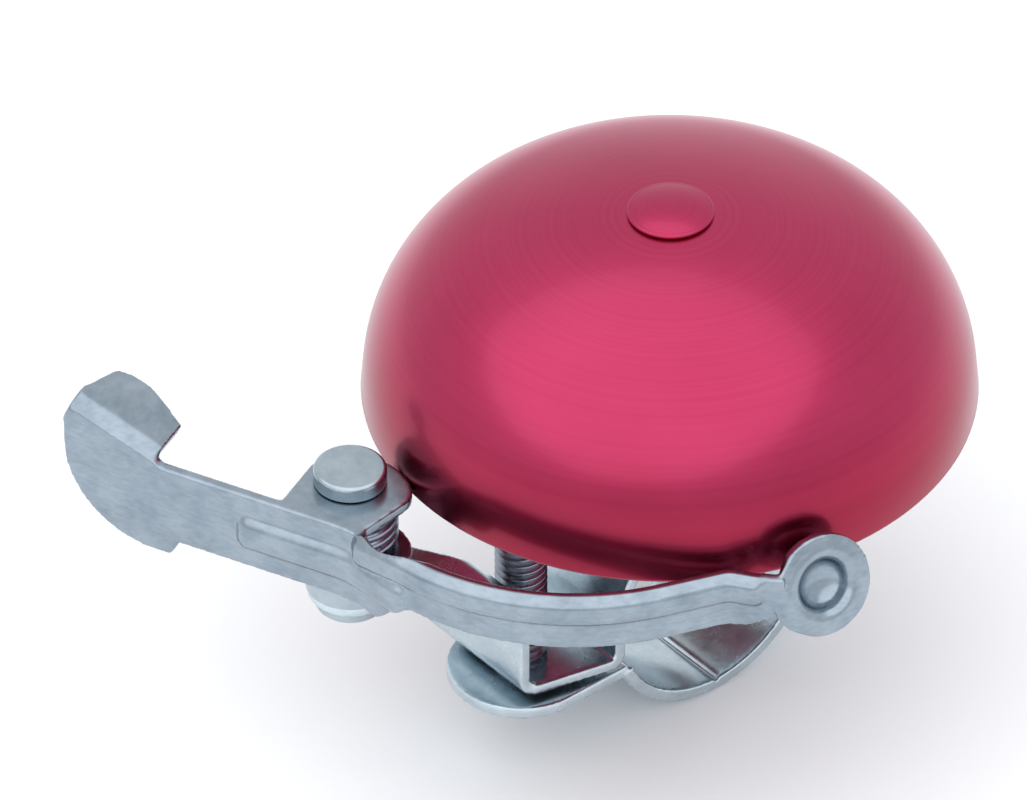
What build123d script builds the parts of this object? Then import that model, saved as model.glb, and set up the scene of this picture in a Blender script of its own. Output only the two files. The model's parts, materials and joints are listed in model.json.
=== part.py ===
from build123d import *
import os
from math import cos, radians, sin, sqrt, tan

# Bicycle bell with a thumb lever, clamped on a handlebar.
# Millimetres. The origin is the centre of the handlebar clamp, +Y runs along
# the bar and +Z points up along the axis of the dome.

# ---------------------------------------------------------------- dimensions
BAR_R = 11.1            # 22.2 mm handlebar
STRIP = 1.2             # steel strip of the bracket, the band and the lever
BAND_WIDTH = 14.0       # along the bar
RING_R = BAR_R + STRIP

RIM_Z = 19.2            # open edge of the dome above the bar's axis
DOME_R = 28.5
DOME_HEIGHT = 20.8
DOME_WALL = 1.0
CROWN_R = 46.0          # flat arc over the top
SHOULDER_R = 17.0       # round shoulder
SIDE_LEAN = 4.0         # degrees that the side leans in, from the rim up

POST_R = 4.5
POST_TAIL_R = 2.5
DOME_SCREW_R = 2.0      # M4
DOME_HEAD_R = 4.05
DOME_HEAD_H = 1.0
DOME_WASHER_R = 5.5
DOME_WASHER_H = 0.8
SCREW_REACH = 12.0      # of the dome screw, below the crown

FLANGE_TOP = -2.3       # of the bracket's left flange
FLANGE_GAP = 0.5        # between the flanges of a clamp that is tight
SCREW_X = -17.9         # axis of the clamp screw, at Y = 0
SCREW_R = 2.45          # M5 thread
TAPPED_R = 2.5
FLANGE_END_R = 6.9
WALL_X = -22.0          # outer face of the bracket's upright wall
WALL_Y = (-5.0, 9.0)     # at its foot
WALL_TOP_Y = 1.5         # the wall's far edge slants in to here, at its top
PLATE_TOP = 8.8         # of the plate that carries the lever's pivot
PLATE_T = 1.1
PLATE_END_R = 4.0
PLATE_HIP = (-26.0, 9.6)     # corner of the plate that the spring's leg leans on

PIVOT = (-32.4, 7.1)
RIVET_R = 2.0
RIVET_HEAD_R = 3.4
EAR_TOP = 20.7          # upper face of the lever's upper ear
LEVER_DEPTH = 8.1       # from the ears' top to the ears' bottom
ARM_DEPTH = 5.9
ARM_RISE = 1.2          # the arm stands higher than the ears, towards the striker
EAR_R = 4.35
EAR_REACH = 6.5         # from the lever's front sheet to the pivot
BUSH_R = 3.0
SHOULDER_BUSH_R = 4.2
SPRING_WIRE = 1.0
SPRING_R = 4.0          # mean radius of the coil
SPRING_TURNS = 5
LEG_Y = 10.9            # where the lower leg turns down past the plate

# The lever's sheet seen from above, as corners that are rounded off.
PADDLE_END = (-48.2, 29.65)
PIVOT_CORNER = (-36.5, 1.6)
ARM_CORNER = (-36.2, -18.3)
WRIST = (-15.1, -26.1)
JOG = (-12.2, -30.3)     # the end steps outwards, so that the cup strikes first
STRIKER = (-8.0, -30.95)
BEND_RADII = [10.0, 23.5, 2.4, 3.0]
PADDLE_START = 0.5       # along the sheet from PADDLE_END
PADDLE_LENGTH = 12.3
PADDLE_LOW = -9.8        # lower edge, measured from the ears' top
CREASE_START = (2.0, 3.6)    # where the thumb flap is folded back
CREASE_TILT = 21.0           # degrees that the crease drops towards the pivot
CREASE_LENGTH = 8.3
FLAP_DEPTH = 7.4
DISC_R = 4.9
DISC_Z = 19.5
DISC_LEAN = 18.0        # degrees that the disc leans back, top towards the dome
CUP_R = 3.1
CUP_DEPTH = 2.0

HINGE_X = 13.5          # middle of the slotted tab that holds the band
HINGE_Z = -3.3
TONGUE_HALF = 3.4
SLOT_HALF = 4.0
SLOT_HEIGHT = 2.2


def upright(radius, low, high, x=0.0, y=0.0):
    """A round bar that stands on z = low and ends at z = high."""
    bar = Cylinder(radius, high - low, align=(Align.CENTER, Align.CENTER, Align.MIN))
    return Pos(x, y, low) * bar


def block(x0, x1, y0, y1, z0, z1):
    """A box between two corners."""
    box = Box(x1 - x0, y1 - y0, z1 - z0)
    return Pos((x0 + x1) / 2, (y0 + y1) / 2, (z0 + z1) / 2) * box


def plate(outline, low, high):
    """A flat plate with the given outline in plan."""
    return Pos(0, 0, low) * extrude(outline, high - low, dir=(0, 0, 1))


def save(shape, name):
    shape.label = name
    export_step(shape, f"parts/{name}.step")


# --------------------------------------------------------------------- dome
def dome_outline(inset):
    """Half section of the dome's outside, moved in by inset, down to its axis."""
    lean = radians(SIDE_LEAN)
    crown, shoulder = CROWN_R - inset, SHOULDER_R - inset
    crown_z = DOME_HEIGHT - CROWN_R
    # The shoulder's centre lies SHOULDER_R inside the side line and touches the crown arc.
    across = DOME_R * cos(lean) - SHOULDER_R
    base = Vector(across * cos(lean), 0, across * sin(lean))
    along = Vector(-sin(lean), 0, cos(lean))
    offset = base - Vector(0, 0, crown_z)
    half = offset.dot(along)
    reach = sqrt(half**2 - offset.dot(offset) + (CROWN_R - SHOULDER_R) ** 2) - half
    centre = base + along * reach
    out = (centre - Vector(0, 0, crown_z)).normalized()
    top = Vector(0, 0, crown_z + crown)
    meet = centre + out * shoulder
    side = centre + Vector(cos(lean), 0, sin(lean)) * shoulder
    middle = (out + Vector(cos(lean), 0, sin(lean))).normalized()
    crown_mid = (out + Vector(0, 0, 1)).normalized()
    foot = side - along * (side.Z / cos(lean))
    arcs = [
        ThreePointArc(top, Vector(0, 0, crown_z) + crown_mid * crown, meet),
        ThreePointArc(meet, centre + middle * shoulder, side),
        Line(side, foot),
        Line(foot, (0, 0, 0)),
        Line((0, 0, 0), top),
    ]
    return make_face(Wire(arcs))


def bell_dome():
    outside = revolve(dome_outline(0), Axis.Z)
    inside = revolve(dome_outline(DOME_WALL), Axis.Z)
    shell = Pos(0, 0, RIM_Z) * (outside - inside)
    return shell - upright(DOME_SCREW_R + 0.1, RIM_Z, RIM_Z + DOME_HEIGHT + 1)


CROWN_TOP = RIM_Z + DOME_HEIGHT
CROWN_UNDER = CROWN_TOP - DOME_WALL


def dome_screw():
    """Low round head on the crown, with a threaded shank down into the post."""
    sag = CROWN_R - sqrt(CROWN_R**2 - DOME_HEAD_R**2)
    seat = Pos(0, 0, CROWN_TOP - CROWN_R) * Sphere(CROWN_R)
    ball_r = (DOME_HEAD_R**2 + DOME_HEAD_H**2) / (2 * DOME_HEAD_H)
    ball = Pos(0, 0, CROWN_TOP - sag / 2 + DOME_HEAD_H - ball_r) * Sphere(ball_r)
    blank = upright(DOME_HEAD_R, CROWN_TOP - sag, CROWN_TOP + 2 * DOME_HEAD_H)
    head = (blank & ball) - seat
    return head + upright(DOME_SCREW_R, CROWN_TOP - SCREW_REACH, CROWN_TOP + 0.3)


WASHER_SAG = (CROWN_R - DOME_WALL) - sqrt((CROWN_R - DOME_WALL)**2 - DOME_WASHER_R**2)
POST_TOP = CROWN_UNDER - WASHER_SAG - 0.02 - DOME_WASHER_H


def dome_washer():
    ring = upright(DOME_WASHER_R, POST_TOP, POST_TOP + DOME_WASHER_H)
    return ring - upright(DOME_SCREW_R + 0.1, POST_TOP - 1, POST_TOP + 2)


def bell_post():
    """Turned pillar: it stands on the saddle and its tail is riveted flush inside."""
    pillar = upright(POST_R, BAR_R, POST_TOP)
    waist = Pos(0, 0, POST_TOP - 5) * Torus(POST_R + 0.5, 1.0)
    pillar = pillar - waist
    pillar = pillar - Rot(90, 0, 0) * Cylinder(RING_R, 4 * POST_R)
    tail = upright(POST_TAIL_R, BAR_R, RING_R + 0.5)
    bore = upright(DOME_SCREW_R, CROWN_TOP - SCREW_REACH - 1.5, POST_TOP + 1)
    flush = Rot(90, 0, 0) * Cylinder(BAR_R, 4 * POST_R)
    return pillar + tail - bore - flush


# ------------------------------------------------------------- bar clamp
def ring_sector(start, stop):
    """Part of the ring round the bar, between two angles in degrees from +X."""
    mid = radians((start + stop) / 2)
    half = radians((stop - start) / 2)
    far = 2 * RING_R
    corners = [(0, 0)]
    for step in range(-2, 3):
        turn = mid + half * step / 2
        corners.append((far * cos(turn), far * sin(turn)))
    wedge = make_face(Wire(Polyline(*corners, close=True)))
    sector = (Circle(RING_R) - Circle(BAR_R)) & wedge
    flat = extrude(sector, BAND_WIDTH / 2, both=True)
    return Rot(90, 0, 0) * flat


def saddle_bracket():
    """One strip: slotted tab, saddle over the bar, flange, upright wall, pivot plate."""
    flange_low = FLANGE_TOP - STRIP
    half = BAND_WIDTH / 2
    ring_foot = RING_R * 0.93
    saddle = ring_sector(0, 180)
    left = block(-RING_R, -BAR_R, -half, half, flange_low, 0)
    corners = [
        (-BAR_R, -half), (-BAR_R, half), (WALL_X + STRIP, WALL_Y[1]),
        (WALL_X, WALL_Y[1]), (WALL_X, WALL_Y[0]), (-ring_foot, -half),
    ]
    flange = plate(make_face(Wire(Polyline(*corners, close=True))), flange_low, FLANGE_TOP)
    side = [
        (WALL_X, WALL_Y[0], flange_low), (WALL_X, WALL_Y[1], flange_low), (WALL_X, WALL_Y[1], 0),
        (WALL_X, WALL_TOP_Y, PLATE_TOP), (WALL_X, WALL_Y[0], PLATE_TOP),
    ]
    wall = extrude(make_face(Wire(Polyline(*side, close=True))), STRIP - 0.1, dir=(1, 0, 0))
    tab_x = HINGE_X - STRIP / 2
    shelf = block(BAR_R, tab_x + STRIP, -half, half, -STRIP / 2, STRIP / 2)
    shelf = shelf - Rot(90, 0, 0) * Cylinder(BAR_R, 2 * BAND_WIDTH)
    tab = block(tab_x, tab_x + STRIP, -half, half, HINGE_Z - 2.6, STRIP / 2)
    slot = block(tab_x - 1, tab_x + 3, -SLOT_HALF, SLOT_HALF,
                 HINGE_Z - SLOT_HEIGHT / 2, HINGE_Z + SLOT_HEIGHT / 2)
    bracket = saddle + left + flange + wall + pivot_plate() + shelf + (tab - slot)
    bracket = bracket - upright(TAPPED_R, flange_low - 1, FLANGE_TOP + 1, SCREW_X)
    return bracket - upright(POST_TAIL_R, BAR_R - 1, RING_R + 1)


def pivot_plate():
    low = PLATE_TOP - PLATE_T
    inner = WALL_X + STRIP - 0.1
    corners = [
        (inner, WALL_TOP_Y), (inner, WALL_Y[0]), (WALL_X - 1, WALL_Y[0]),
        (PIVOT[0] - 0.5, PIVOT[1] - PLATE_END_R), (PIVOT[0], PIVOT[1] + PLATE_END_R),
        PLATE_HIP, (WALL_X, WALL_TOP_Y),
    ]
    tongue = plate(make_face(Wire(Polyline(*corners, close=True))), low, PLATE_TOP)
    end = upright(PLATE_END_R, low, PLATE_TOP, *PIVOT)
    return tongue + end - upright(RIVET_R, low - 1, PLATE_TOP + 1, *PIVOT)


def lower_band():
    """Lower half of the clamp: round flange, half ring, tongue through the slot."""
    top = FLANGE_TOP - STRIP - FLANGE_GAP
    low = top - STRIP
    half = BAND_WIDTH / 2
    ring = ring_sector(196, 344)
    ring = ring - block(-2 * RING_R, 0, -BAND_WIDTH, BAND_WIDTH, top, RING_R)
    round_end = upright(FLANGE_END_R, low, top, SCREW_X)
    reach = block(SCREW_X, -sqrt(BAR_R**2 - top**2), -FLANGE_END_R, FLANGE_END_R, low, top)
    flange = round_end + reach - Rot(90, 0, 0) * Cylinder(BAR_R, 2 * BAND_WIDTH)
    tongue = block(BAR_R - 0.2, HINGE_X + 2.4, -TONGUE_HALF, TONGUE_HALF,
                   HINGE_Z - STRIP / 2, HINGE_Z + STRIP / 2)
    hook = block(HINGE_X + 1.2, HINGE_X + 2.4, -TONGUE_HALF, TONGUE_HALF,
                 HINGE_Z - STRIP / 2, HINGE_Z + 2.2)
    tongue = tongue - Rot(90, 0, 0) * Cylinder(BAR_R, 2 * BAND_WIDTH)
    hole = upright(SCREW_R + 0.6, low - 1, top + 1, SCREW_X)
    groove = Pos(0, 0, -BAR_R) * Rot(90, 0, 0) * Cylinder(0.35, 2 * BAND_WIDTH)
    return ring + flange + tongue + hook - hole - groove


BAND_UNDER = FLANGE_TOP - 2 * STRIP - FLANGE_GAP
WASHER_TOP = BAND_UNDER - 0.15
WASHER_T = 0.6
HEAD_TOP = WASHER_TOP - WASHER_T
HEAD_R = 4.2
HEAD_H = 2.0
SCREW_LENGTH = 17.8


def clamp_washer():
    ring = upright(4.6, WASHER_TOP - WASHER_T, WASHER_TOP, SCREW_X)
    return ring - upright(SCREW_R + 0.05, WASHER_TOP - 3, WASHER_TOP + 1, SCREW_X)


def clamp_screw():
    """M5 screw with a low pan head, fitted from below, with a cross recess."""
    head_low = HEAD_TOP - HEAD_H - 0.05
    head = upright(HEAD_R, head_low, HEAD_TOP - 0.05, SCREW_X)
    head = fillet(head.edges().group_by(Axis.Z)[0], 1.2)
    arm = Box(4.4, 1.0, 2.4)
    cross = Pos(SCREW_X, 0, head_low) * (arm + Rot(0, 0, 90) * arm)
    shank = upright(SCREW_R, HEAD_TOP - 0.5, HEAD_TOP + SCREW_LENGTH, SCREW_X)
    shank = chamfer(shank.edges().group_by(Axis.Z)[-1], 0.6)
    return head - cross + shank


# ------------------------------------------------------------------- pivot
EAR_LOW = EAR_TOP - LEVER_DEPTH
BUSH_SHOULDER = EAR_LOW - 0.6
PIVOT_WASHER_T = 0.4


def pivot_rivet():
    """Flat headed pivot, riveted over below the plate."""
    low = PLATE_TOP - PLATE_T
    head = upright(RIVET_HEAD_R, EAR_TOP + 0.1, EAR_TOP + 1.7, *PIVOT)
    head = chamfer(head.edges().group_by(Axis.Z)[-1], 0.25)
    tail = upright(RIVET_HEAD_R - 0.05, low - 1.4, low, *PIVOT)
    tail = chamfer(tail.edges().group_by(Axis.Z)[0], 0.5)
    return head + upright(RIVET_R, low - 0.5, EAR_TOP + 0.5, *PIVOT) + tail


def pivot_bush():
    """Shouldered bush on the rivet: the lever's lower ear and the spring go round it."""
    bush = upright(BUSH_R, PLATE_TOP, EAR_TOP - STRIP - 0.1, *PIVOT)
    bush = bush + upright(SHOULDER_BUSH_R, PLATE_TOP, BUSH_SHOULDER, *PIVOT)
    return bush - upright(RIVET_R, PLATE_TOP - 1, EAR_TOP, *PIVOT)


def pivot_washer():
    ring = upright(4.3, BUSH_SHOULDER, BUSH_SHOULDER + PIVOT_WASHER_T, *PIVOT)
    return ring - upright(BUSH_R, BUSH_SHOULDER - 1, BUSH_SHOULDER + 1, *PIVOT)


COIL_TOP = EAR_TOP - STRIP - 0.25
COIL_LOW = COIL_TOP - SPRING_TURNS * SPRING_WIRE


def return_spring():
    """Close wound coil, as a sleeve with round turns, with one leg over the plate."""
    wire = SPRING_WIRE / 2
    x, y = PIVOT
    outer, inner = [], []
    for turn in range(SPRING_TURNS):
        low = COIL_LOW + turn * SPRING_WIRE
        mid, high = low + wire, low + SPRING_WIRE
        outer.append(ThreePointArc((SPRING_R + 0.25, 0, low), (SPRING_R + wire, 0, mid),
                                   (SPRING_R + 0.25, 0, high)))
        inner.append(ThreePointArc((SPRING_R - 0.25, 0, high), (SPRING_R - wire, 0, mid),
                                   (SPRING_R - 0.25, 0, low)))
    lid = Line((SPRING_R + 0.25, 0, COIL_TOP), (SPRING_R - 0.25, 0, COIL_TOP))
    floor = Line((SPRING_R - 0.25, 0, COIL_LOW), (SPRING_R + 0.25, 0, COIL_LOW))
    coil = Pos(x, y, 0) * revolve(make_face(Wire(outer + [lid] + inner + [floor])), Axis.Z)
    leg_x, leg_z = x + SPRING_R, COIL_LOW + wire
    leg = wire * 0.92
    across = Rot(-90, 0, 0) * upright(leg, 0, LEG_Y - y)
    elbow = Pos(leg_x, LEG_Y, leg_z) * Sphere(leg)
    drop = upright(leg, PLATE_TOP - 2.2, leg_z, leg_x, LEG_Y)
    return coil + (Pos(leg_x, y, leg_z) * across + elbow + drop)


# ------------------------------------------------------------------- lever
def unit(start, stop):
    run = Vector(*stop) - Vector(*start)
    return run.normalized()


def sheet_wall(path, low, high):
    """Sheet that stands on edge along a path in plan."""
    start = (path @ 0) + Vector(0, 0, (low + high) / 2)
    section = Plane(start, x_dir=(0, 0, 1), z_dir=path % 0) * Rectangle(high - low, STRIP)
    return sweep(section, Pos(0, 0, (low + high) / 2) * path)


def lever_ear(low):
    """Ear folded in from the front sheet, round about the pivot."""
    along = unit(PADDLE_END, PIVOT_CORNER)
    inward = Vector(-along.Y, along.X)
    pivot = Vector(*PIVOT)
    fold = pivot - inward * (EAR_REACH - STRIP / 2)
    corners = [pivot + along * EAR_R, pivot - along * EAR_R,
               fold - along * EAR_R, fold + along * EAR_R]
    web = make_face(Wire(Polyline(*corners, close=True)))
    return plate(web, low, low + STRIP) + upright(EAR_R, low, low + STRIP, *PIVOT)


def thumb_paddle():
    """Broad rounded plate, with a flap folded back along a sloping crease for the thumb."""
    along = unit(PIVOT_CORNER, PADDLE_END)
    face = Plane(origin=(*PADDLE_END, EAR_TOP), x_dir=(-along.X, -along.Y, 0),
                 z_dir=(-along.Y, along.X, 0))
    tilt = radians(CREASE_TILT)
    end = (CREASE_START[0] + CREASE_LENGTH * cos(tilt), CREASE_START[1] - CREASE_LENGTH * sin(tilt))
    start, finish = (PADDLE_LENGTH, -4.0), (end[0] + 0.6, end[1] - 1.0)
    edge = FilletPolyline(start, (PADDLE_LENGTH, PADDLE_LOW), (PADDLE_START, PADDLE_LOW),
                          (PADDLE_START, CREASE_START[1] - 0.3), CREASE_START, end, finish,
                          radius=[1.5, 9.5, 1.6, 0.5, 0.2])
    outline = make_face(Wire(edge.edges() + [Line(finish, start)]))
    blade = extrude(outline, STRIP / 2, both=True)
    rim = FilletPolyline((0, 0), (-0.2, FLAP_DEPTH - 1.2), (3.4, FLAP_DEPTH),
                         (CREASE_LENGTH, 5.2), (CREASE_LENGTH, 0), radius=[1.8, 3.0, 0.4])
    sole = make_face(Wire(rim.edges() + [Line((CREASE_LENGTH, 0), (0, 0))]))
    flap = extrude(sole, STRIP, dir=(0, 0, 1))
    crease = Pos(*CREASE_START, STRIP / 2) * Rot(0, 0, -CREASE_TILT) * Rot(-90, 0, 0)
    return face * (blade + crease * Pos(0, 0, -STRIP / 2) * flap)


def striker_disc():
    """Round end of the lever with a cup pressed towards the dome, and the cup's hollow."""
    along = unit(JOG, STRIKER)
    lean = radians(DISC_LEAN)
    face = Plane(origin=(*STRIKER, DISC_Z), x_dir=(along.X, along.Y, 0),
                 z_dir=(-along.Y * cos(lean), along.X * cos(lean), -sin(lean)))
    disc = Cylinder(DISC_R, STRIP)
    ball_r = (CUP_R**2 + CUP_DEPTH**2) / (2 * CUP_DEPTH)
    base = STRIP / 2
    bump = Pos(0, 0, base + CUP_DEPTH - ball_r) * Sphere(ball_r)
    bump = bump & Pos(0, 0, base + 5) * Box(20, 20, 10)
    hollow = Pos(0, 0, base + CUP_DEPTH - ball_r - STRIP * 0.6) * Sphere(ball_r - 0.4)
    hollow = hollow & Pos(0, 0, base - 3) * Box(20, 20, 10)
    return face * (disc + bump), face * hollow


def striker_lever():
    low = EAR_TOP - LEVER_DEPTH
    root = Vector(*PADDLE_END) + unit(PADDLE_END, PIVOT_CORNER) * (PADDLE_LENGTH - 2.3)
    path = FilletPolyline((root.X, root.Y), PIVOT_CORNER, ARM_CORNER, WRIST, JOG, STRIKER,
                          radius=BEND_RADII)
    arm_top = EAR_TOP + ARM_RISE
    sheet = sheet_wall(path, low, arm_top)
    sheet = sheet - block(-60, 0, -60, -5.0, low - 5, arm_top - ARM_DEPTH)
    sheet = sheet - block(-60, 0, -5.0, 40, EAR_TOP, arm_top + 1)
    disc, hollow = striker_disc()
    lever = sheet + thumb_paddle() + disc - hollow
    lever = lever + lever_ear(EAR_TOP - STRIP) + lever_ear(low)
    lever = lever - upright(RIVET_R + 0.05, EAR_TOP - 2, EAR_TOP + 1, *PIVOT)
    return lever - upright(BUSH_R + 0.06, low - 1, low + 2, *PIVOT)


NODES = {
    "bell_dome": bell_dome,
    "dome_screw": dome_screw,
    "dome_washer": dome_washer,
    "bell_post": bell_post,
    "saddle_bracket": saddle_bracket,
    "lower_band": lower_band,
    "clamp_washer": clamp_washer,
    "clamp_screw": clamp_screw,
    "pivot_rivet": pivot_rivet,
    "pivot_bush": pivot_bush,
    "pivot_washer": pivot_washer,
    "return_spring": return_spring,
    "striker_lever": striker_lever,
}

os.makedirs("parts", exist_ok=True)
for name, make in NODES.items():
    save(make(), name)
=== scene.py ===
# %% [markdown]
# A bicycle bell: a red anodised dome on a post, a handlebar clamp bent from zinc plated strip,
# and a sprung thumb lever with the striker at its far end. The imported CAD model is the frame.
# Everything here is placed from it, in metres, and sizes are written in millimetres times MM.

# %% Load the frame
import bpy
import bmesh
import json
from math import acos, asin, cos, degrees, pi, radians, sin, sqrt, tan
from mathutils import Matrix, Vector


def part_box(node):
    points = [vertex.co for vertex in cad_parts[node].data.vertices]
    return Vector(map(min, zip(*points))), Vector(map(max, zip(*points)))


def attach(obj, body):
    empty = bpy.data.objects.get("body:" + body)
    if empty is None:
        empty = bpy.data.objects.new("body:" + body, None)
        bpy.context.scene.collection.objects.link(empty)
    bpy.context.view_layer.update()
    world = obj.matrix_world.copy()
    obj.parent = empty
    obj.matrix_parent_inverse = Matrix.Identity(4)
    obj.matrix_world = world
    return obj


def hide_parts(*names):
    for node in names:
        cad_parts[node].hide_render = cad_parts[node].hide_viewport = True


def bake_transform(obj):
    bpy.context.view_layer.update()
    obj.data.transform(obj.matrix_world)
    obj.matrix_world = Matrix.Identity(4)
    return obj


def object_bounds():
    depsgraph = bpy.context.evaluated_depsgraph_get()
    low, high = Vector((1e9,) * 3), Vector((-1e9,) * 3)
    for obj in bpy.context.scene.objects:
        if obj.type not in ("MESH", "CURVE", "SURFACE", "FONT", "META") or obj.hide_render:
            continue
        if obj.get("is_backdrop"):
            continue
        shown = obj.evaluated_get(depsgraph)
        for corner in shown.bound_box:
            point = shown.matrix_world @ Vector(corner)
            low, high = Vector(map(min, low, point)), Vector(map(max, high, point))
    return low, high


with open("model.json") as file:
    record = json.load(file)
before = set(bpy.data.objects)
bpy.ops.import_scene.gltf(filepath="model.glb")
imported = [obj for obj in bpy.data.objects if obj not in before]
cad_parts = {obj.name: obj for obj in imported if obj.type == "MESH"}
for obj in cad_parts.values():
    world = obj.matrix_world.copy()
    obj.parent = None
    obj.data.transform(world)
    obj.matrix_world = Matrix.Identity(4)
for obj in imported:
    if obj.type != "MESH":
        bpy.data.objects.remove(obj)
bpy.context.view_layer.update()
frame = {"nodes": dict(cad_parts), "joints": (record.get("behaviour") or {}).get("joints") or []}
MM = 0.001
JOINTS = {joint["name"]: joint for joint in frame["joints"]}
PIVOT = Vector(JOINTS["lever_swing"]["pos_m"][:2]) / MM
SCREW_X = JOINTS["screw_turn"]["pos_m"][0] / MM


def span(node):
    """Lowest and highest corner of a CAD node, in millimetres."""
    low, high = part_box(node)
    return Vector(low) / MM, Vector(high) / MM


DOME_LOW, DOME_HIGH = span("bell_dome")
RIM_Z = DOME_LOW.z
DOME_R = DOME_HIGH.x
print("nodes", sorted(frame["nodes"]), "rim at", round(RIM_Z, 2), "mm")

# %% [markdown]
# The camera stands in front and to the left, well above the rim. It is 2.5 m away with a very
# long lens, so the view is almost parallel and the near parts aren't enlarged. An orthographic
# camera would give nearly the same picture, but this keeps a trace of depth.

# %% Camera
AZIMUTH, ELEVATION = radians(-40), radians(39)
DISTANCE = 2500 * MM
FRAME_WIDTH = 94.7 * MM      # what the picture takes in at the rim's distance
AIM_RIGHT, AIM_UP = -14.4 * MM, -1.1 * MM

back = Vector((sin(AZIMUTH) * cos(ELEVATION), -cos(AZIMUTH) * cos(ELEVATION), sin(ELEVATION)))
right = Vector((cos(AZIMUTH), sin(AZIMUTH), 0))
up = back.cross(right)
aim = Vector((0, 0, RIM_Z * MM)) + right * AIM_RIGHT + up * AIM_UP
camera = bpy.data.objects.new("camera", bpy.data.cameras.new("camera"))
bpy.context.scene.collection.objects.link(camera)
camera.data.sensor_width = 36
camera.data.lens = 36 * DISTANCE / FRAME_WIDTH
camera.data.clip_end = 20
camera.location = aim + back * DISTANCE
camera.rotation_euler = back.to_track_quat("Z", "Y").to_euler()
bpy.context.scene.camera = camera
print("lens", round(camera.data.lens, 1), "mm")

# %% [markdown]
# Polished metal shows what is round it, so the light matters as much as the finish. A bright
# pale world leaves only a soft shadow. One very large round light overhead adds the broad oval
# glow on the crown.

# %% Lights and floor
def soft_disc(name, place, target, width, power):
    """A round soft light that faces the target."""
    light = bpy.data.lights.new(name, "AREA")
    light.shape = "DISK"
    light.size = width
    light.energy = power
    lamp = bpy.data.objects.new(name, light)
    bpy.context.scene.collection.objects.link(lamp)
    lamp.location = place
    lamp.rotation_euler = (Vector(place) - Vector(target)).to_track_quat("Z", "Y").to_euler()


heart = (0, 0, RIM_Z * MM)
soft_disc("overhead_disc", place=(-0.22, -0.12, 0.70), target=heart, width=1.75, power=5.4)
world = bpy.data.worlds.new("pale_room")
world.use_nodes = True
world.node_tree.nodes["Background"].inputs["Color"].default_value = (0.96, 0.975, 1, 1)
world.node_tree.nodes["Background"].inputs["Strength"].default_value = 0.98
bpy.context.scene.world = world
bpy.context.scene.view_settings.view_transform = "Standard"

# %% [markdown]
# Materials are written as arithmetic. Value wraps a node's output, so that 0.2 + grain * 0.1
# makes the two Math nodes, and Shade.node makes any other node from its type and settings.

# %% A small language for shaders
class Value:
    """A number that varies over a surface: the output of a node, with operators."""

    def __init__(self, shade, socket):
        self.shade, self.socket = shade, socket

    def join(self, operation, first, second):
        return self.shade.node("ShaderNodeMath", {"operation": operation}, {0: first, 1: second})

    def __add__(self, other):
        return self.join("ADD", self, other)

    def __radd__(self, other):
        return self.join("ADD", other, self)

    def __mul__(self, other):
        return self.join("MULTIPLY", self, other)

    def __rmul__(self, other):
        return self.join("MULTIPLY", other, self)


class Shade:
    """A material under construction, around one Principled shader."""

    def __init__(self, name, **constants):
        self.material = bpy.data.materials.new(name)
        self.material.use_nodes = True
        self.tree = self.material.node_tree
        self.shader = self.tree.nodes["Principled BSDF"]
        for socket, number in constants.items():
            self.shader.inputs[self.socket_name(socket)].default_value = number
        self.place = self.node("ShaderNodeTexCoord", {}, {}, "Object")

    @staticmethod
    def socket_name(word):
        """coat_IOR becomes Coat IOR."""
        return " ".join(part[0].upper() + part[1:] for part in word.split("_"))

    def node(self, kind, settings, inputs, output=0):
        made = self.tree.nodes.new(kind)
        for key, setting in settings.items():
            if key == "stops":
                ramp = made.color_ramp.elements
                while len(ramp) < len(setting):
                    ramp.new(0.5)
                for stop, (position, colour) in zip(ramp, setting):
                    stop.position, stop.color = position, (*colour, 1)
            else:
                setattr(made, key, setting)
        for key, given in inputs.items():
            if isinstance(given, Value):
                self.tree.links.new(given.socket, made.inputs[key])
            else:
                made.inputs[key].default_value = given
        return Value(self, made.outputs[output])

    def noise(self, scale, detail=2.0, stretch=(1, 1, 1)):
        """Cloudy variation from 0 to 1; scale counts features in a metre."""
        place = self.node("ShaderNodeMapping", {}, {"Vector": self.place, "Scale": stretch})
        inputs = {"Vector": place, "Scale": scale, "Detail": detail, "Roughness": 0.55}
        return self.node("ShaderNodeTexNoise", {}, inputs)

    def ramp(self, factor, *stops):
        return self.node("ShaderNodeValToRGB", {"stops": stops}, {"Fac": factor})

    def set(self, **links):
        for socket, value in links.items():
            self.tree.links.new(value.socket, self.shader.inputs[self.socket_name(socket)])

    def bump(self, height, depth):
        """Relief: depth in metres is how high a height of 1 stands."""
        inputs = {"Height": height, "Distance": depth, "Strength": 1.0}
        self.set(normal=self.node("ShaderNodeBump", {}, inputs))


# %% [markdown]
# Bright zinc plating is a soft bluish mirror. Here it is mottled, with a fine grain, a few drawn
# lines and duller patches. The clamp's strip has a paler tone than the lever only to make up for
# the shade under the dome: nothing says that the real plating differs between them.

# %% Zinc plating
def zinc(name, pale, dark, dull, lines=(1, 1, 1)):
    shade = Shade(name, metallic=1.0)
    mottle = shade.noise(260, 4)
    grain = shade.noise(2600, 3)
    drawn = shade.noise(900, 2, lines)
    tone = mottle * 0.65 + drawn * 0.35
    shade.set(base_color=shade.ramp(tone, (0.30, dark), (0.62, pale)))
    shade.set(roughness=dull - 0.14 + mottle * 0.20 + grain * 0.08)
    shade.bump(grain * 0.5 + drawn * 0.5 + mottle * 0.8, 0.008 * MM)
    return shade.material


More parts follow.
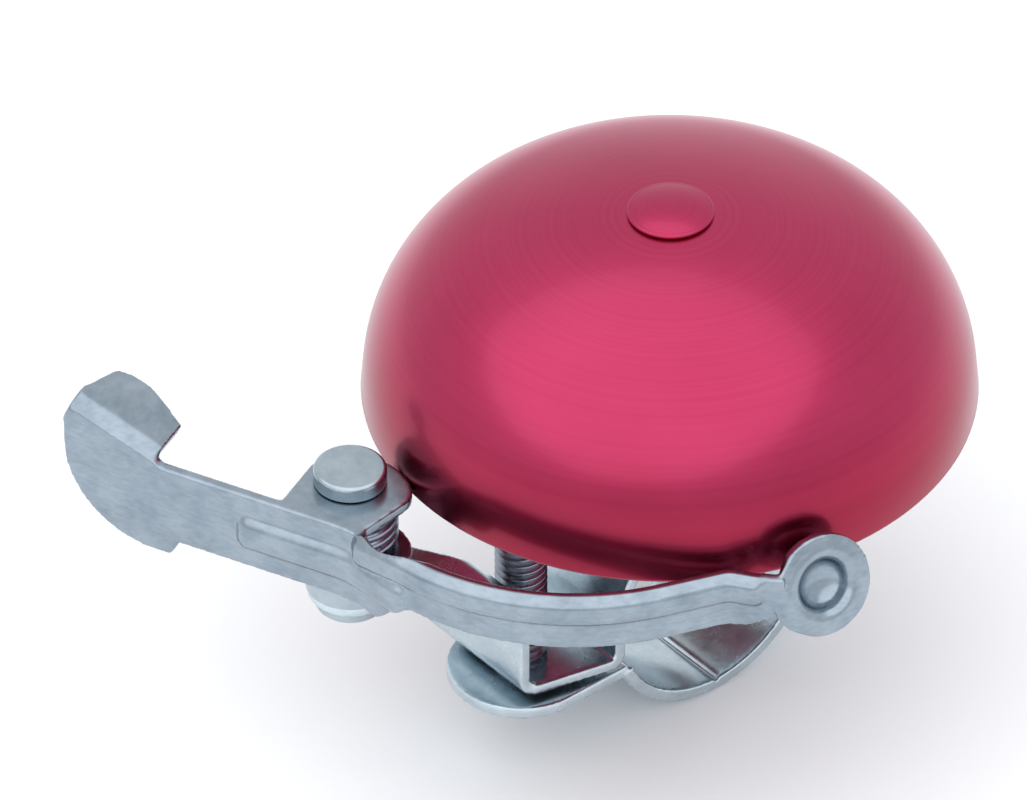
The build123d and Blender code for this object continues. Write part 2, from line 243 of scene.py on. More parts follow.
ZINC_SHEET = zinc("zinc_pressed", (0.335, 0.395, 0.45), (0.22, 0.27, 0.32), 0.25, (1, 1, 3))
# Painted light: the strip's plating is paler than the lever's to offset the shade under the dome.
ZINC_STRIP_PAINTED_LIGHT = zinc("zinc_strip", (0.60, 0.69, 0.74), (0.45, 0.53, 0.58), 0.25, (1, 1, 3))
ZINC_TURNED = zinc("zinc_round", (0.42, 0.49, 0.53), (0.31, 0.37, 0.42), 0.23)
SCREW_FINISH = zinc("screw_finish", (0.34, 0.385, 0.44), (0.20, 0.235, 0.29), 0.28)
WIRE_FINISH = zinc("wire_finish", (0.34, 0.375, 0.46), (0.18, 0.205, 0.28), 0.26)
print("plating", [m.name for m in (ZINC_SHEET, ZINC_STRIP_PAINTED_LIGHT, ZINC_TURNED, SCREW_FINISH, WIRE_FINISH)])

# %% [markdown]
# The dome is taken to be spun metal, polished and dyed red. The colour is set as a clear coat over
# metal, so that the red is deep and the edges still reflect white, with faint rings as from a
# lathe. It is also painted darker towards the rim. That stands in for darker surroundings
# mirrored in a real bell, which this scene doesn't have. It isn't a property of the dye.

# %% Red anodising
def red_anodised():
    shade = Shade("red_anodised", metallic=1.0, coat_weight=0.25, coat_roughness=0.10, coat_IOR=1.5)
    square = shade.node("ShaderNodeVectorMath", {"operation": "MULTIPLY"},
                        {0: shade.place, 1: (1, 1, 0)})
    radius = shade.node("ShaderNodeVectorMath", {"operation": "LENGTH"}, {0: square}, "Value")
    rings = shade.node("ShaderNodeTexNoise", {"noise_dimensions": "1D"},
                       {"W": radius, "Scale": 2500.0, "Detail": 3.0})
    cloud = shade.noise(45, 3)
    tone = cloud * 0.7 + rings * 0.3
    pale = shade.ramp(tone, (0.30, (0.38, 0.022, 0.078)), (0.70, (0.46, 0.034, 0.104)))
    # Painted reflection: a darker red for the lower side, standing in for dark surroundings mirrored
    # in it.
    painted_dark_reflection = shade.ramp(tone, (0.30, (0.27, 0.010, 0.036)), (0.70, (0.34, 0.016, 0.050)))
    height = shade.node("ShaderNodeSeparateXYZ", {}, {"Vector": shade.place}, "Z")
    rise = shade.node("ShaderNodeMapRange", {"interpolation_type": "SMOOTHSTEP"},
                      {"Value": height, "From Min": (RIM_Z + 3) * MM, "From Max": (RIM_Z + 13) * MM})
    shade.set(base_color=shade.node("ShaderNodeMix", {"data_type": "RGBA"},
                                    {0: rise, 6: painted_dark_reflection, 7: pale}, 2))
    shade.set(roughness=0.22 + cloud * 0.10 + rings * 0.05)
    shade.bump(rings * 0.35 + shade.noise(1500, 2) * 0.4, 0.0010 * MM)
    return shade.material


RED = red_anodised()


def pale_ground():
    shade = Shade("pale_ground", roughness=0.9)
    shade.set(base_color=shade.ramp(shade.noise(8), (0, (0.90, 0.91, 0.92)), (1, (0.95, 0.95, 0.96))))
    return shade.material


# %% [markdown]
# Three ways of making a shape cover most of the bell. A lathe spins an outline for the round
# parts. A pressed sheet starts as a flat grid, which a function bends into place, like a blank
# in a press. Fusing joins such sheets with a fine voxel remesh, which also rounds their edges.
# The fused pieces have no holes for the screw, the bush and the pin, which just pass through.

# %% Helpers for meshes
def new_object(name, mesh):
    made = bpy.data.objects.new(name, mesh)
    bpy.context.scene.collection.objects.link(made)
    return made


def settle(bm, name, material, sharp=38):
    """Writes a bmesh to a new object, smooth except along edges that turn sharply."""
    for face in bm.faces:
        face.smooth = True
    for edge in bm.edges:
        edge.smooth = len(edge.link_faces) != 2 or degrees(edge.calc_face_angle(0)) < sharp
    mesh = bpy.data.meshes.new(name)
    bm.to_mesh(mesh)
    bm.free()
    mesh.materials.append(material)
    made = new_object(name, mesh)
    print(name, len(mesh.polygons), "faces")
    return made


def spin_outline(bm, outline, x, y, steps):
    """Spins a closed outline of (radius, z) points, in millimetres, about a vertical axis."""
    points = [bm.verts.new(((x + r) * MM, y * MM, z * MM)) for r, z in outline]
    edges = [bm.edges.new((a, b)) for a, b in zip(points, points[1:] + points[:1])]
    bmesh.ops.spin(bm, geom=points + edges, cent=(x * MM, y * MM, 0), axis=(0, 0, 1),
                   angle=2 * pi, steps=steps, use_merge=True)
    bmesh.ops.remove_doubles(bm, verts=bm.verts, dist=0.002 * MM)
    bmesh.ops.recalc_face_normals(bm, faces=bm.faces)


def lathe(name, outline, material, x=0.0, y=0.0, steps=96):
    bm = bmesh.new()
    spin_outline(bm, outline, x, y, steps)
    return settle(bm, name, material)


def arc(cx, cz, radius, start, stop, count=8):
    """Points on a round stretch of an outline, between two angles in degrees."""
    turns = [radians(start + (stop - start) * i / count) for i in range(count + 1)]
    return [(cx + radius * cos(a), cz + radius * sin(a)) for a in turns]


def pressed(name, place, columns, rows, thickness):
    """A sheet: a flat grid whose points place(u, v) moves, then given its thickness."""
    bm = bmesh.new()
    bmesh.ops.create_grid(bm, x_segments=columns, y_segments=rows, size=0.5)
    for vertex in bm.verts:
        vertex.co = Vector(place(vertex.co.x + 0.5, vertex.co.y + 0.5)) * MM
    mesh = bpy.data.meshes.new(name)
    bm.to_mesh(mesh)
    bm.free()
    made = new_object(name, mesh)
    wall = made.modifiers.new("wall", "SOLIDIFY")
    wall.thickness, wall.offset = thickness * MM, 0.0
    return made


def fuse(name, parts, material, voxel=0.20, rounds=3):
    """Joins overlapping closed shapes into one skin and rounds its edges."""
    graph = bpy.context.evaluated_depsgraph_get()
    bm = bmesh.new()
    for part in parts:
        final = part.evaluated_get(graph).to_mesh()
        bm.from_mesh(final)
    mesh = bpy.data.meshes.new(name + "_rough")
    bm.to_mesh(mesh)
    bm.free()
    rough = new_object(name + "_rough", mesh)
    skin = rough.modifiers.new("skin", "REMESH")
    skin.mode, skin.voxel_size = "VOXEL", voxel * MM
    graph = bpy.context.evaluated_depsgraph_get()
    bm = bmesh.new()
    bm.from_mesh(rough.evaluated_get(graph).to_mesh())
    for _ in range(rounds):
        bmesh.ops.smooth_vert(bm, verts=bm.verts, factor=0.5, use_axis_x=True,
                              use_axis_y=True, use_axis_z=True)
    for part in parts + [rough]:
        bpy.data.objects.remove(part)
    return settle(bm, name, material, sharp=180)


class Route:
    """Straight runs with rounded corners in a plane: at(s) gives the point and direction."""

    def __init__(self, corners, radii):
        corners = [Vector(c) for c in corners]
        self.pieces, here, length = [], corners[0], 0.0
        for before, corner, after, radius in zip(corners, corners[1:], corners[2:], radii):
            d0, d1 = (corner - before).normalized(), (after - corner).normalized()
            turn = acos(max(-1.0, min(1.0, d0.dot(d1))))
            side = 1.0 if d0.x * d1.y - d0.y * d1.x > 0 else -1.0
            reach = radius * tan(turn / 2)
            stop = corner - d0 * reach
            self.pieces.append((length, "run", here, d0, 0.0))
            length += (stop - here).length
            self.pieces.append((length, "bend", stop, d0, side * radius))
            length += radius * turn
            here = corner + d1 * reach
        self.pieces.append((length, "run", here, (corners[-1] - here).normalized(), 0.0))
        self.length = length + (corners[-1] - here).length

    def at(self, s):
        begin, kind, point, d, radius = [p for p in self.pieces if p[0] <= max(s, 0.0)][-1]
        s = s - begin
        if kind == "run":
            return point + d * s, d
        turn = s / radius
        normal = Vector((-d.y, d.x))
        spot = point + normal * radius * (1 - cos(turn)) + d * radius * sin(turn)
        return spot, d * cos(turn) + normal * sin(turn)


def ease(low, high, x):
    """0 before low, 1 after high, and smooth between."""
    t = max(0.0, min(1.0, (x - low) / (high - low)))
    return t * t * (3 - 2 * t)


def root(x):
    return sqrt(max(x, 0.0))


# %% [markdown]
# The dome's outline is a flat arc over the crown, a tighter arc round the shoulder and a side
# that leans in by a few degrees. Spun, it is the same shell as the CAD's, but smooth, and its
# open edge is rounded.

# %% Dome
CROWN_R, SHOULDER_R, WALL, LEAN = 46.0, 17.0, 1.0, radians(4)
DOME_HEIGHT, DOME_BORE = 20.8, 2.1
CROWN_TOP = RIM_Z + DOME_HEIGHT


def dome_outline(inset, count):
    """Points from the axis down to the rim, moved in by inset."""
    crown_z = CROWN_TOP - CROWN_R
    across = DOME_R * cos(LEAN) - SHOULDER_R
    base = Vector((across * cos(LEAN), RIM_Z + across * sin(LEAN)))
    along = Vector((-sin(LEAN), cos(LEAN)))
    offset = base - Vector((0, crown_z))
    half = offset.dot(along)
    centre = base + along * (sqrt(half**2 - offset.length_squared + (CROWN_R - SHOULDER_R)**2) - half)
    meet = degrees((centre - Vector((0, crown_z))).angle_signed(Vector((1, 0))))
    points = arc(0, crown_z, CROWN_R - inset, 90, meet, count)
    return points + arc(centre.x, centre.y, SHOULDER_R - inset, meet, degrees(LEAN), count)[1:]


def bell_shell():
    outside, inside = dome_outline(0, 28), dome_outline(WALL, 20)
    outside = [(max(r, DOME_BORE), z) for r, z in outside]
    inside = [(max(r, DOME_BORE), z) for r, z in inside]
    lip = arc(DOME_R - WALL / 2, RIM_Z + WALL / 2, WALL / 2, 0, -180, 8)
    return lathe("dome_shell", outside + lip + inside[::-1], RED, steps=160)


dome = bell_shell()
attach(dome, "bracket")
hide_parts("bell_dome")

# %% [markdown]
# The screw in the crown has a low round head in the same red, with a fine shadow line where it
# sits on the dome.

# %% Dome screw
SCREW_LOW, SCREW_HIGH = span("dome_screw")


def crown_screw():
    head_r, edge, side, shank_r = SCREW_HIGH.x, 0.22, 0.45, 2.0
    seat = CROWN_TOP - CROWN_R + sqrt(CROWN_R**2 - head_r**2)
    rise = SCREW_HIGH.z - seat - side
    ball = (head_r**2 + rise**2) / (2 * rise)
    tilt = degrees(asin((head_r - edge) / ball))
    cap = arc(0, SCREW_HIGH.z - ball, ball, 90, 90 - tilt, 16)
    rim_z = cap[-1][1]
    corner = arc(head_r - edge, rim_z - edge, edge, 80, -60, 8)
    shank = [(head_r - 0.5, seat + 0.02), (shank_r, seat - 0.1), (shank_r, SCREW_LOW.z),
             (0, SCREW_LOW.z)]
    return lathe("crown_screw", cap + corner + shank, RED, steps=72)


button = crown_screw()
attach(button, "bracket")
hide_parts("dome_screw")

# %% [markdown]
# The lever is one pressing: a sheet standing on edge that curves round the dome. I draw it flat
# first, as a lower and an upper edge along its length, then stand it on its route. A bead along
# the arm and a rib beside the pivot stand outwards, and the striker's cup goes in, to the dome.

# %% Lever: sizes
STRIP = 1.2
EAR_TOP = 20.7
PADDLE_END = (-48.2, 29.65)
LEVER_ROUTE = Route([PADDLE_END, (-36.5, 1.6), (-36.2, -18.3), (-15.1, -26.1), (-12.2, -30.3),
                     (-8.0, -30.95)], [10.0, 23.5, 2.4, 3.0])
LEVER_LENGTH = LEVER_ROUTE.length
DISC_R, DISC_Y, DISC_LEAN = 4.9, -1.2, radians(18)
PADDLE_START, PADDLE_LENGTH, PADDLE_LOW, PADDLE_CORNER = 0.5, 12.3, -9.8, 9.5
CREASE, CREASE_TILT, CREASE_LENGTH = Vector((2.0, 3.6)), radians(21), 8.3
CREASE_STOP = CREASE.x + CREASE_LENGTH * cos(CREASE_TILT)
DEEP, SHALLOW, ARM_RISE = -8.1, -4.7, 1.2
NARROWING, RISING = (33.5, 38.0), (33.0, 40.0)       # stretches where the blank becomes the arm
END_CORNER, NECK_RISE = 1.6, 1.4
BEAD_HIGH, BEAD_HALF, BEAD_START, BEAD_CLIMB = 1.0, 1.5, 31.0, (30.0, 38.0)
RIB_HIGH, RIB_HALF, RIB_Y, RIB_START, RIB_STOP = 0.80, 1.9, -4.1, 18.6, 38.0
CUP_R, CUP_DEPTH, LIP_DEPTH = 3.0, 2.0, 0.25
NECK = LEVER_LENGTH - DISC_R + 0.9
print("lever", round(LEVER_LENGTH, 1), "mm long")


def lever_point(s, y, inward=0.0):
    """A place on the lever: s along it, y above the ears' top, inward towards the dome."""
    spot, d = LEVER_ROUTE.at(s)
    if s > LEVER_LENGTH:
        spot, d = LEVER_ROUTE.at(LEVER_LENGTH)
        spot = spot + d * (s - LEVER_LENGTH)
    return (spot.x - d.y * inward, spot.y + d.x * inward, EAR_TOP + y)


def lower_edge(s):
    run = min(s - PADDLE_START, PADDLE_CORNER)
    corner = PADDLE_LOW + PADDLE_CORNER - root(PADDLE_CORNER**2 - (PADDLE_CORNER - run)**2)
    blank = corner + (DEEP - PADDLE_LOW) * ease(PADDLE_LENGTH - 0.9, PADDLE_LENGTH + 0.3, s)
    arm = blank + (SHALLOW - DEEP) * ease(*NARROWING, s)
    return arm + NECK_RISE * ease(NECK - 4.0, NECK - 0.5, s)


def upper_edge(s):
    run = END_CORNER - min(s - PADDLE_START, END_CORNER)
    corner = END_CORNER - root(END_CORNER**2 - run**2)
    crease = CREASE.y - max(0.0, s - CREASE.x) * tan(CREASE_TILT) - corner
    return crease * (1 - ease(CREASE_STOP, CREASE_STOP + 0.8, s)) + ARM_RISE * ease(*RISING, s)


# %% Lever: the relief pressed into it
def ridge(y, centre, half, s, start, stop, fade):
    """A ridge along the lever with a broad top, 1 high, steep sides and rounded ends."""
    ends = ease(start, start + fade, s) * (1 - ease(stop - fade, stop, s))
    return ends * (1 - ease(0.35, 1.0, abs((y - centre) / half)))


def relief(s, y):
    """How far the sheet stands outwards at a place, in millimetres."""
    bead_y = ARM_RISE * ease(*BEAD_CLIMB, s) - BEAD_HALF
    bead = BEAD_HIGH * ridge(y, bead_y, BEAD_HALF, s, BEAD_START, NECK - 1.5, 1.2)
    rib = RIB_HIGH * ridge(y, RIB_Y, RIB_HALF, s, RIB_START, RIB_STOP, 1.0)
    return bead + rib


def blank_place(u, v):
    s = PADDLE_START + u * (NECK - PADDLE_START)
    low, high = lower_edge(s), upper_edge(s)
    y = low + (high - low) * v
    return lever_point(s, y, -relief(s, y))


# %% Lever: striker disc, which leans back and carries the cup
def disc_place(u, v):
    """The grid's square is wrapped onto a disc, so that its edge is round."""
    a, b = 2 * u - 1, 2 * v - 1
    across = DISC_R * a * root(1 - b * b / 2)
    rise = DISC_R * b * root(1 - a * a / 2)
    reach = sqrt(across**2 + rise**2)
    cup = CUP_DEPTH * root(1 - min(1.0, (reach / CUP_R)**2))
    lip = -LIP_DEPTH * ease(CUP_R, 3.3, reach) * (1 - ease(3.5, 4.1, reach))
    dish = cup + lip
    height = DISC_Y + rise * cos(DISC_LEAN) - dish * sin(DISC_LEAN)
    inward = rise * sin(DISC_LEAN) + dish * cos(DISC_LEAN)
    return lever_point(LEVER_LENGTH + across, height, inward)


# %% Lever: ears and thumb flap
EAR_HALF, EAR_DEPTH, EAR_RISE, FOLD_R = 4.35, 5.9, 1.3, 1.1
EAR_S = (PIVOT - Vector(PADDLE_END)).dot(LEVER_ROUTE.at(0)[1])


def ear_place(side):
    """Ear folded in from the top edge (side 1) or from the bottom edge (side -1).

    It follows the lever's route, so it widens where the lever starts to bend, and the upper one
    just enters the dome's wall. A straight ear, as in the CAD, would keep clear of it.
    """
    edge = -STRIP / 2 if side > 0 else DEEP + STRIP / 2
    bend = FOLD_R * pi / 2
    flat = EAR_DEPTH + EAR_HALF - FOLD_R

    def place(u, v):
        e = u * (EAR_RISE + bend + flat)
        angle = min(max((e - EAR_RISE) / FOLD_R, 0.0), pi / 2)
        beyond = max(0.0, e - EAR_RISE - bend)
        inward = FOLD_R * (1 - cos(angle)) + beyond
        drop = max(0.0, EAR_RISE - e) + FOLD_R * (1 - sin(angle))
        half = EAR_HALF if inward < EAR_DEPTH else root(EAR_HALF**2 - (inward - EAR_DEPTH)**2)
        return lever_point(EAR_S + (2 * v - 1) * half, edge - side * drop, inward)

    return place


def flap_place(u, v):
    """Thumb flap, folded in at the crease: round for two thirds of its length, then tapering."""
    m = -1.0 + u * (CREASE_LENGTH + 1.1)
    depth = 1.3 + 4.2 * root(1 - ((u - 0.42) / 0.5)**2) if u < 0.67 else 4.93 - (u - 0.67) * 4.2
    depth = depth * (0.25 + 0.75 * ease(-1.2, 0.6, m))
    tuck, fold = 0.8, 1.3
    d = -tuck + v * (tuck + fold * pi / 2 + depth)
    angle = min(max(d / fold, 0.0), pi / 2)
    inward = fold * (1 - cos(angle)) + max(0.0, d - fold * pi / 2)
    lift = min(d, 0.0) + fold * (sin(angle) - 1)
    s = CREASE.x + m * cos(CREASE_TILT) + lift * sin(CREASE_TILT)
    y = CREASE.y - m * sin(CREASE_TILT) + lift * cos(CREASE_TILT)
    return lever_point(max(s, 0.0), y, inward)


# %% Lever: pressed and fused
lever = fuse("thumb_lever", [
    pressed("lever_blank", blank_place, 300, 48, STRIP),
    pressed("striker_disc", disc_place, 72, 72, STRIP),
    pressed("upper_ear", ear_place(1), 48, 36, STRIP),
    pressed("lower_ear", ear_place(-1), 48, 36, STRIP),
    pressed("thumb_flap", flap_place, 40, 44, STRIP),
], ZINC_SHEET)
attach(lever, "lever")
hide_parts("striker_lever")

# %% [markdown]
# The bracket is a single strip: a slotted tab, the saddle over the bar, a flange, an upright
# wall and the plate under the lever's pivot. Its side view is a route with bends, and at each
# place along it the strip has its own left and right edge.

# %% Bracket
HALF = 7.0
BAR_R, MID_R = 11.1, 11.7
TAPPED_Z, LIFT_X, TAB_X, PIVOT_Z = -2.9, -21.45, 13.5, 8.25
SLOT_Z, SLOT_SIZE = -3.3, (6.0, 8.0, 2.2)
WALL_LOW_Y, WALL_HIGH_Y, WALL_TOP_Y, PLATE_R = -5.0, 9.0, 1.5, 4.0
HIP = Vector((-26.0, 9.6))


LEFT_ROUTE = Route([(-MID_R, 0.0), (-MID_R, TAPPED_Z), (LIFT_X, TAPPED_Z), (LIFT_X, PIVOT_Z),
                    (PIVOT.x - PLATE_R, PIVOT_Z)], [0.9, 1.5, 1.6])
TAB_ROUTE = Route([(TAB_X, -5.9), (TAB_X, -0.5), (MID_R, 0.9), (MID_R, 1.6)], [0.9, 0.9])


def saddle_place(u, v):
    """Half a ring over the bar, from its right foot to its left."""
    return (MID_R * cos(pi * u), (2 * v - 1) * HALF, MID_R * sin(pi * u))


def even_strip(route, half):
    """A strip of even width that follows a route seen from the side."""
    def place(u, v):
        spot, _ = route.at(u * route.length)
        return (spot.x, (2 * v - 1) * half, spot.y)

    return place


def between(a, b, t):
    return a + (b - a) * max(0.0, min(1.0, t))


def plate_high(x):
    """Far edge of the pivot plate: from the wall to the hip, then on to the round end."""
    if x > HIP.x:
        return between(WALL_TOP_Y, HIP.y, (LIFT_X - x) / (LIFT_X - HIP.x))
    return between(HIP.y, PIVOT.y + PLATE_R, (HIP.x - x) / (HIP.x - PIVOT.x))


def strip_edges(x, z):
    """Near and far edge of the strip where its middle line passes x and z."""
    if z < 0 or x > LIFT_X + 2:
        t = (-MID_R - 1.0 - x) / (-MID_R - 1.0 - LIFT_X)
        return between(-HALF, WALL_LOW_Y, t), between(HALF, WALL_HIGH_Y, t)
    if x > LIFT_X - 0.1:
        return WALL_LOW_Y, between(WALL_HIGH_Y, WALL_TOP_Y, z / PIVOT_Z)
    if x > PIVOT.x:
        t = (LIFT_X - 1.5 - x) / (LIFT_X - 1.5 - PIVOT.x)
        return between(WALL_LOW_Y, PIVOT.y - PLATE_R, t), plate_high(x)
    half = root(PLATE_R**2 - (x - PIVOT.x)**2)
    return PIVOT.y - half, PIVOT.y + half


def left_place(u, v):
    spot, _ = LEFT_ROUTE.at(u * LEFT_ROUTE.length)
    low, high = strip_edges(spot.x, spot.y)
    return (spot.x, low + (high - low) * v, spot.y)


def cut_away(part, bm):
    """Takes the shape in a bmesh away from a part, with a Boolean."""
    mesh = bpy.data.meshes.new("cutter")
    bm.to_mesh(mesh)
    bm.free()
    cutter = new_object("cutter", mesh)
    cut = part.modifiers.new("cut", "BOOLEAN")
    cut.operation, cut.object, cut.solver = "DIFFERENCE", cutter, "EXACT"
    return cutter


def slot_bar():
    """A bar with rounded edges, as large as the slot in the tab."""
    bm = bmesh.new()
    bmesh.ops.create_cube(bm, size=1.0)
    bmesh.ops.scale(bm, vec=Vector(SLOT_SIZE) * MM, verts=bm.verts)
    bmesh.ops.translate(bm, vec=(TAB_X * MM, 0, SLOT_Z * MM), verts=bm.verts)
    bmesh.ops.bevel(bm, geom=bm.edges, offset=0.4 * MM, segments=3, profile=0.5,
                    affect="EDGES", material=-1)
    return bm


tab = pressed("tab", even_strip(TAB_ROUTE, HALF), 40, 40, STRIP)
slot_cutter = cut_away(tab, slot_bar())
bracket = fuse("bracket_strip", [
    tab,
    pressed("saddle", saddle_place, 90, 40, STRIP),
    pressed("wall_and_plate", left_place, 190, 60, STRIP - 0.05),
], ZINC_STRIP_PAINTED_LIGHT)
bpy.data.objects.remove(slot_cutter)
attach(bracket, "bracket")
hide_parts("saddle_bracket")

# %% [markdown]
# The lower band closes the clamp: a round flange for the screw, half a ring with a groove cut
# inside along its lowest line, and a narrow tongue that hooks through the tab's slot.

# %% Lower band
BAND_Z, FLANGE_R, GROOVE_R = -4.6, 6.9, 0.35
TONGUE_HALF, HOOK_X, HOOK_TOP = 3.4, 15.3, -1.1
RING_START = 180 + degrees(asin(-BAND_Z / MID_R))
RING_STOP = 344.0


def flange_place(u, v):
    x = SCREW_X - FLANGE_R + u * (FLANGE_R - SCREW_X - root(MID_R**2 - BAND_Z**2))
    half = root(FLANGE_R**2 - (x - SCREW_X)**2) if x < SCREW_X else FLANGE_R
    return (x, (2 * v - 1) * half, BAND_Z)


def ring_place(u, v):
    angle = radians(RING_START + u * (RING_STOP - RING_START))
    return (MID_R * cos(angle), (2 * v - 1) * HALF, MID_R * sin(angle))


TONGUE_ROUTE = Route([(MID_R * cos(radians(RING_STOP)) - 0.3, SLOT_Z), (HOOK_X, SLOT_Z),
                      (HOOK_X, HOOK_TOP)], [0.8])


def groove_rod():
    """A thin rod along the ring's lowest line, half sunk in its inner face."""
    bm = bmesh.new()
    bmesh.ops.create_cone(bm, cap_ends=True, segments=24, radius1=GROOVE_R * MM, radius2=GROOVE_R * MM,
                          depth=20 * MM, matrix=Matrix.Rotation(pi / 2, 4, "X"))
    bmesh.ops.translate(bm, vec=(0, 0, -BAR_R * MM), verts=bm.verts)
    return bm


half_ring = pressed("band_ring", ring_place, 120, 40, STRIP)
groove_cutter = cut_away(half_ring, groove_rod())
band = fuse("band_strip", [
    pressed("band_flange", flange_place, 60, 40, STRIP),
    half_ring,
    pressed("band_tongue", even_strip(TONGUE_ROUTE, TONGUE_HALF), 40, 24, STRIP),
], ZINC_STRIP_PAINTED_LIGHT)
bpy.data.objects.remove(groove_cutter)
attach(band, "band")
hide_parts("lower_band")

# %% [markdown]
# A screw thread is a toothed outline that climbs one pitch while it turns once. Spin does that
# with its dvec setting: each step turns and lifts, and after a full turn every tooth has reached
# the next one, so the ends merge.

# %% Clamp screw
SCREW_TOP = span("clamp_screw")[1].z
SHANK_LENGTH, PITCH, MAJOR, MINOR = 17.8, 0.8, 2.45, 1.98
HEAD_TOP = SCREW_TOP - SHANK_LENGTH


def screw_thread():
    bm = bmesh.new()
    steps = 48
    teeth = int((SCREW_TOP - 1.0 - HEAD_TOP) / PITCH)
    outline = []
    for tooth in range(teeth):
        z = HEAD_TOP - 0.2 + tooth * PITCH
        outline += [(MINOR, z), (MAJOR, z + PITCH * 0.42), (MAJOR, z + PITCH * 0.55),
                    (MINOR, z + PITCH * 0.95)]
    points = [bm.verts.new(((SCREW_X + r) * MM, 0, z * MM)) for r, z in outline]
    edges = [bm.edges.new(pair) for pair in zip(points, points[1:])]
    bmesh.ops.spin(bm, geom=points + edges, cent=(SCREW_X * MM, 0, 0), axis=(0, 0, 1),
                   angle=2 * pi, steps=steps, dvec=(0, 0, PITCH * MM / steps))
    bmesh.ops.remove_doubles(bm, verts=bm.verts, dist=0.01 * MM)
    bmesh.ops.recalc_face_normals(bm, faces=bm.faces)
    low, core_r = HEAD_TOP - 0.3, MINOR - 0.05
    core = [(0, SCREW_TOP), (1.5, SCREW_TOP), (core_r, SCREW_TOP - 0.5), (core_r, low), (0, low)]
    spun = bmesh.new()
    spin_outline(spun, core, SCREW_X, 0, 48)
    mesh = bpy.data.meshes.new("core")
    spun.to_mesh(mesh)
    spun.free()
    bm.from_mesh(mesh)
    return settle(bm, "screw_thread", SCREW_FINISH, sharp=30)


def screw_head():
    """The CAD head, with its shank cut away where the thread takes over."""
    bm = bmesh.new()
    bm.from_mesh(frame["nodes"]["clamp_screw"].data)
    bmesh.ops.remove_doubles(bm, verts=bm.verts, dist=0.001 * MM)
    cut = bmesh.ops.bisect_plane(bm, geom=bm.verts[:] + bm.edges[:] + bm.faces[:],
                                 plane_co=(0, 0, (HEAD_TOP - 0.04) * MM), plane_no=(0, 0, 1),
                                 clear_outer=True)
    rim = [e for e in cut["geom_cut"] if isinstance(e, bmesh.types.BMEdge)]
    bmesh.ops.contextual_create(bm, geom=rim)
    return settle(bm, "screw_head", SCREW_FINISH)


for piece in (screw_thread(), screw_head()):
    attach(piece, "screw")
    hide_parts("clamp_screw")

# %% [markdown]
# The return spring is a round wire spun about the pivot while it climbs. Its lower leg runs out
# past the edge of the bracket's plate and turns down. It has no upper leg: the wire just ends at
# the top.

# %% Return spring
COIL_LOW, COIL_TURNS, WIRE, COIL_R = 14.25, 5, 0.47, 4.0
LEG_END_Y, LEG_DROP = 10.9, 6.2


def extrude_end(bm, loop, steps):
    """Pulls an open end of the wire along a list of moves, in millimetres."""
    for move, tilt_axis, tilt in steps:
        grown = bmesh.ops.extrude_edge_only(bm, edges=loop)["geom"]
        verts = [g for g in grown if isinstance(g, bmesh.types.BMVert)]
        loop = [g for g in grown if isinstance(g, bmesh.types.BMEdge)
                and all(v in verts for v in g.verts)]
        centre = sum((v.co for v in verts), Vector()) / len(verts)
        if tilt:
            bmesh.ops.rotate(bm, cent=centre, matrix=Matrix.Rotation(tilt, 3, tilt_axis), verts=verts)
        bmesh.ops.translate(bm, vec=Vector(move) * MM, verts=verts)
    bmesh.ops.contextual_create(bm, geom=loop)


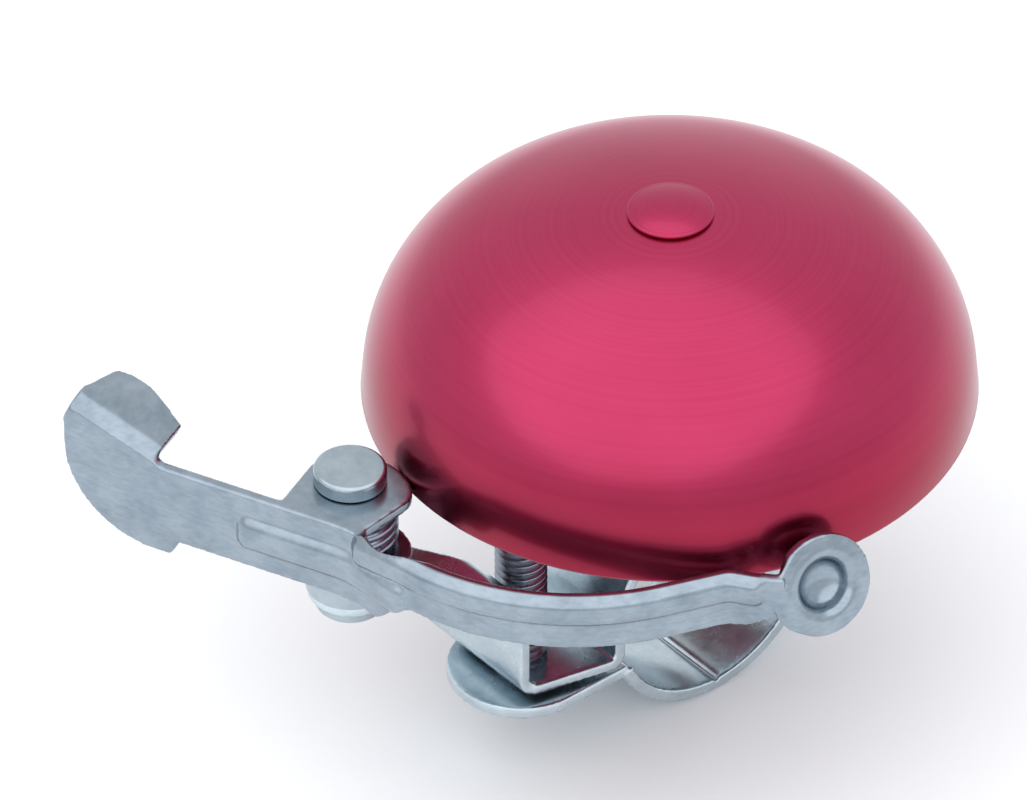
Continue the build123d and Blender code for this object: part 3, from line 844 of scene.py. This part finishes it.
def coil_spring():
    bm = bmesh.new()
    x, y = PIVOT
    low = COIL_LOW + WIRE
    ring = bmesh.ops.create_circle(bm, segments=14, radius=WIRE * MM)["verts"]
    bmesh.ops.rotate(bm, cent=(0, 0, 0), matrix=Matrix.Rotation(pi / 2, 3, "X"), verts=ring)
    bmesh.ops.translate(bm, vec=((x + COIL_R) * MM, y * MM, low * MM), verts=ring)
    first = bm.edges[:]
    steps = COIL_TURNS * 40
    climb = (COIL_TURNS * 2 * WIRE * 1.03) / steps
    spun = bmesh.ops.spin(bm, geom=ring + first, cent=(x * MM, y * MM, 0), axis=(0, 0, -1),
                          angle=2 * pi * COIL_TURNS * 0.97, steps=steps, dvec=(0, 0, climb * MM))
    last = [g for g in spun["geom_last"] if isinstance(g, bmesh.types.BMEdge)]
    run = LEG_END_Y - y
    bend = [((0, 0.25, -0.1), "X", -pi / 8)] + [((0, 0.18, -0.2), "X", -pi / 8)] * 3
    extrude_end(bm, first, [((0, run - 0.9, 0), "X", 0)] + bend + [((0, 0, -LEG_DROP), "X", 0)])
    extrude_end(bm, last, [((0, 0, 0.05), "X", 0)])
    bmesh.ops.recalc_face_normals(bm, faces=bm.faces)
    return settle(bm, "coil_spring", WIRE_FINISH, sharp=60)


spring = coil_spring()
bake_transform(spring)
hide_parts("return_spring")

# %% [markdown]
# The pivot is a pin with a flat head, soft at its edge and very slightly hollow in the middle. Its
# lower end is a guess: nearly as wide as the head.

# %% Pivot rivet
RIVET_LOW, RIVET_HIGH = span("pivot_rivet")


def pivot_pin():
    head_r, top, under = 3.4, RIVET_HIGH.z, EAR_TOP + 0.1
    low, plate_under = RIVET_LOW.z, 7.7
    crown = [(0, top - 0.06), (2.4, top - 0.04)] + arc(head_r - 0.35, top - 0.35, 0.35, 90, 0, 5)
    neck = arc(head_r - 0.12, under + 0.12, 0.12, 0, -90, 3) + [(2.0, under), (2.0, plate_under)]
    tail_r = head_r - 0.05
    tail = [(tail_r, plate_under)] + arc(tail_r - 0.5, low + 0.5, 0.5, 0, -90, 5)
    return lathe("pivot_pin", crown + neck + tail + [(1.2, low), (0.9, low + 0.25), (0, low + 0.25)],
                 ZINC_TURNED, PIVOT.x, PIVOT.y, 80)


pin = pivot_pin()
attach(pin, "bracket")
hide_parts("pivot_rivet")

# %% [markdown]
# The post, washers and bush are plain turned parts, mostly out of sight, so their CAD shape stays
# and only takes a finish.

# %% Finishes on the CAD's own parts
FINISHES = {
    "bell_post": ZINC_TURNED, "dome_washer": ZINC_TURNED, "pivot_bush": ZINC_TURNED,
    "pivot_washer": ZINC_TURNED, "clamp_washer": SCREW_FINISH,
}
for node, finish in FINISHES.items():
    mesh = frame["nodes"][node].data
    mesh.materials.clear()
    mesh.materials.append(finish)
print("finished", len(FINISHES), "CAD nodes")

# %% [markdown]
# The floor is a wide sheet that lies just under the lowest part of the clamp.

# %% Floor
def floor_sheet():
    bm = bmesh.new()
    bmesh.ops.create_grid(bm, x_segments=8, y_segments=8, size=3.0)
    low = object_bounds()[0][2]
    bmesh.ops.translate(bm, vec=(0, 0, low - 0.2 * MM), verts=bm.verts)
    return settle(bm, "floor", pale_ground())


floor_sheet()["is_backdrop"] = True
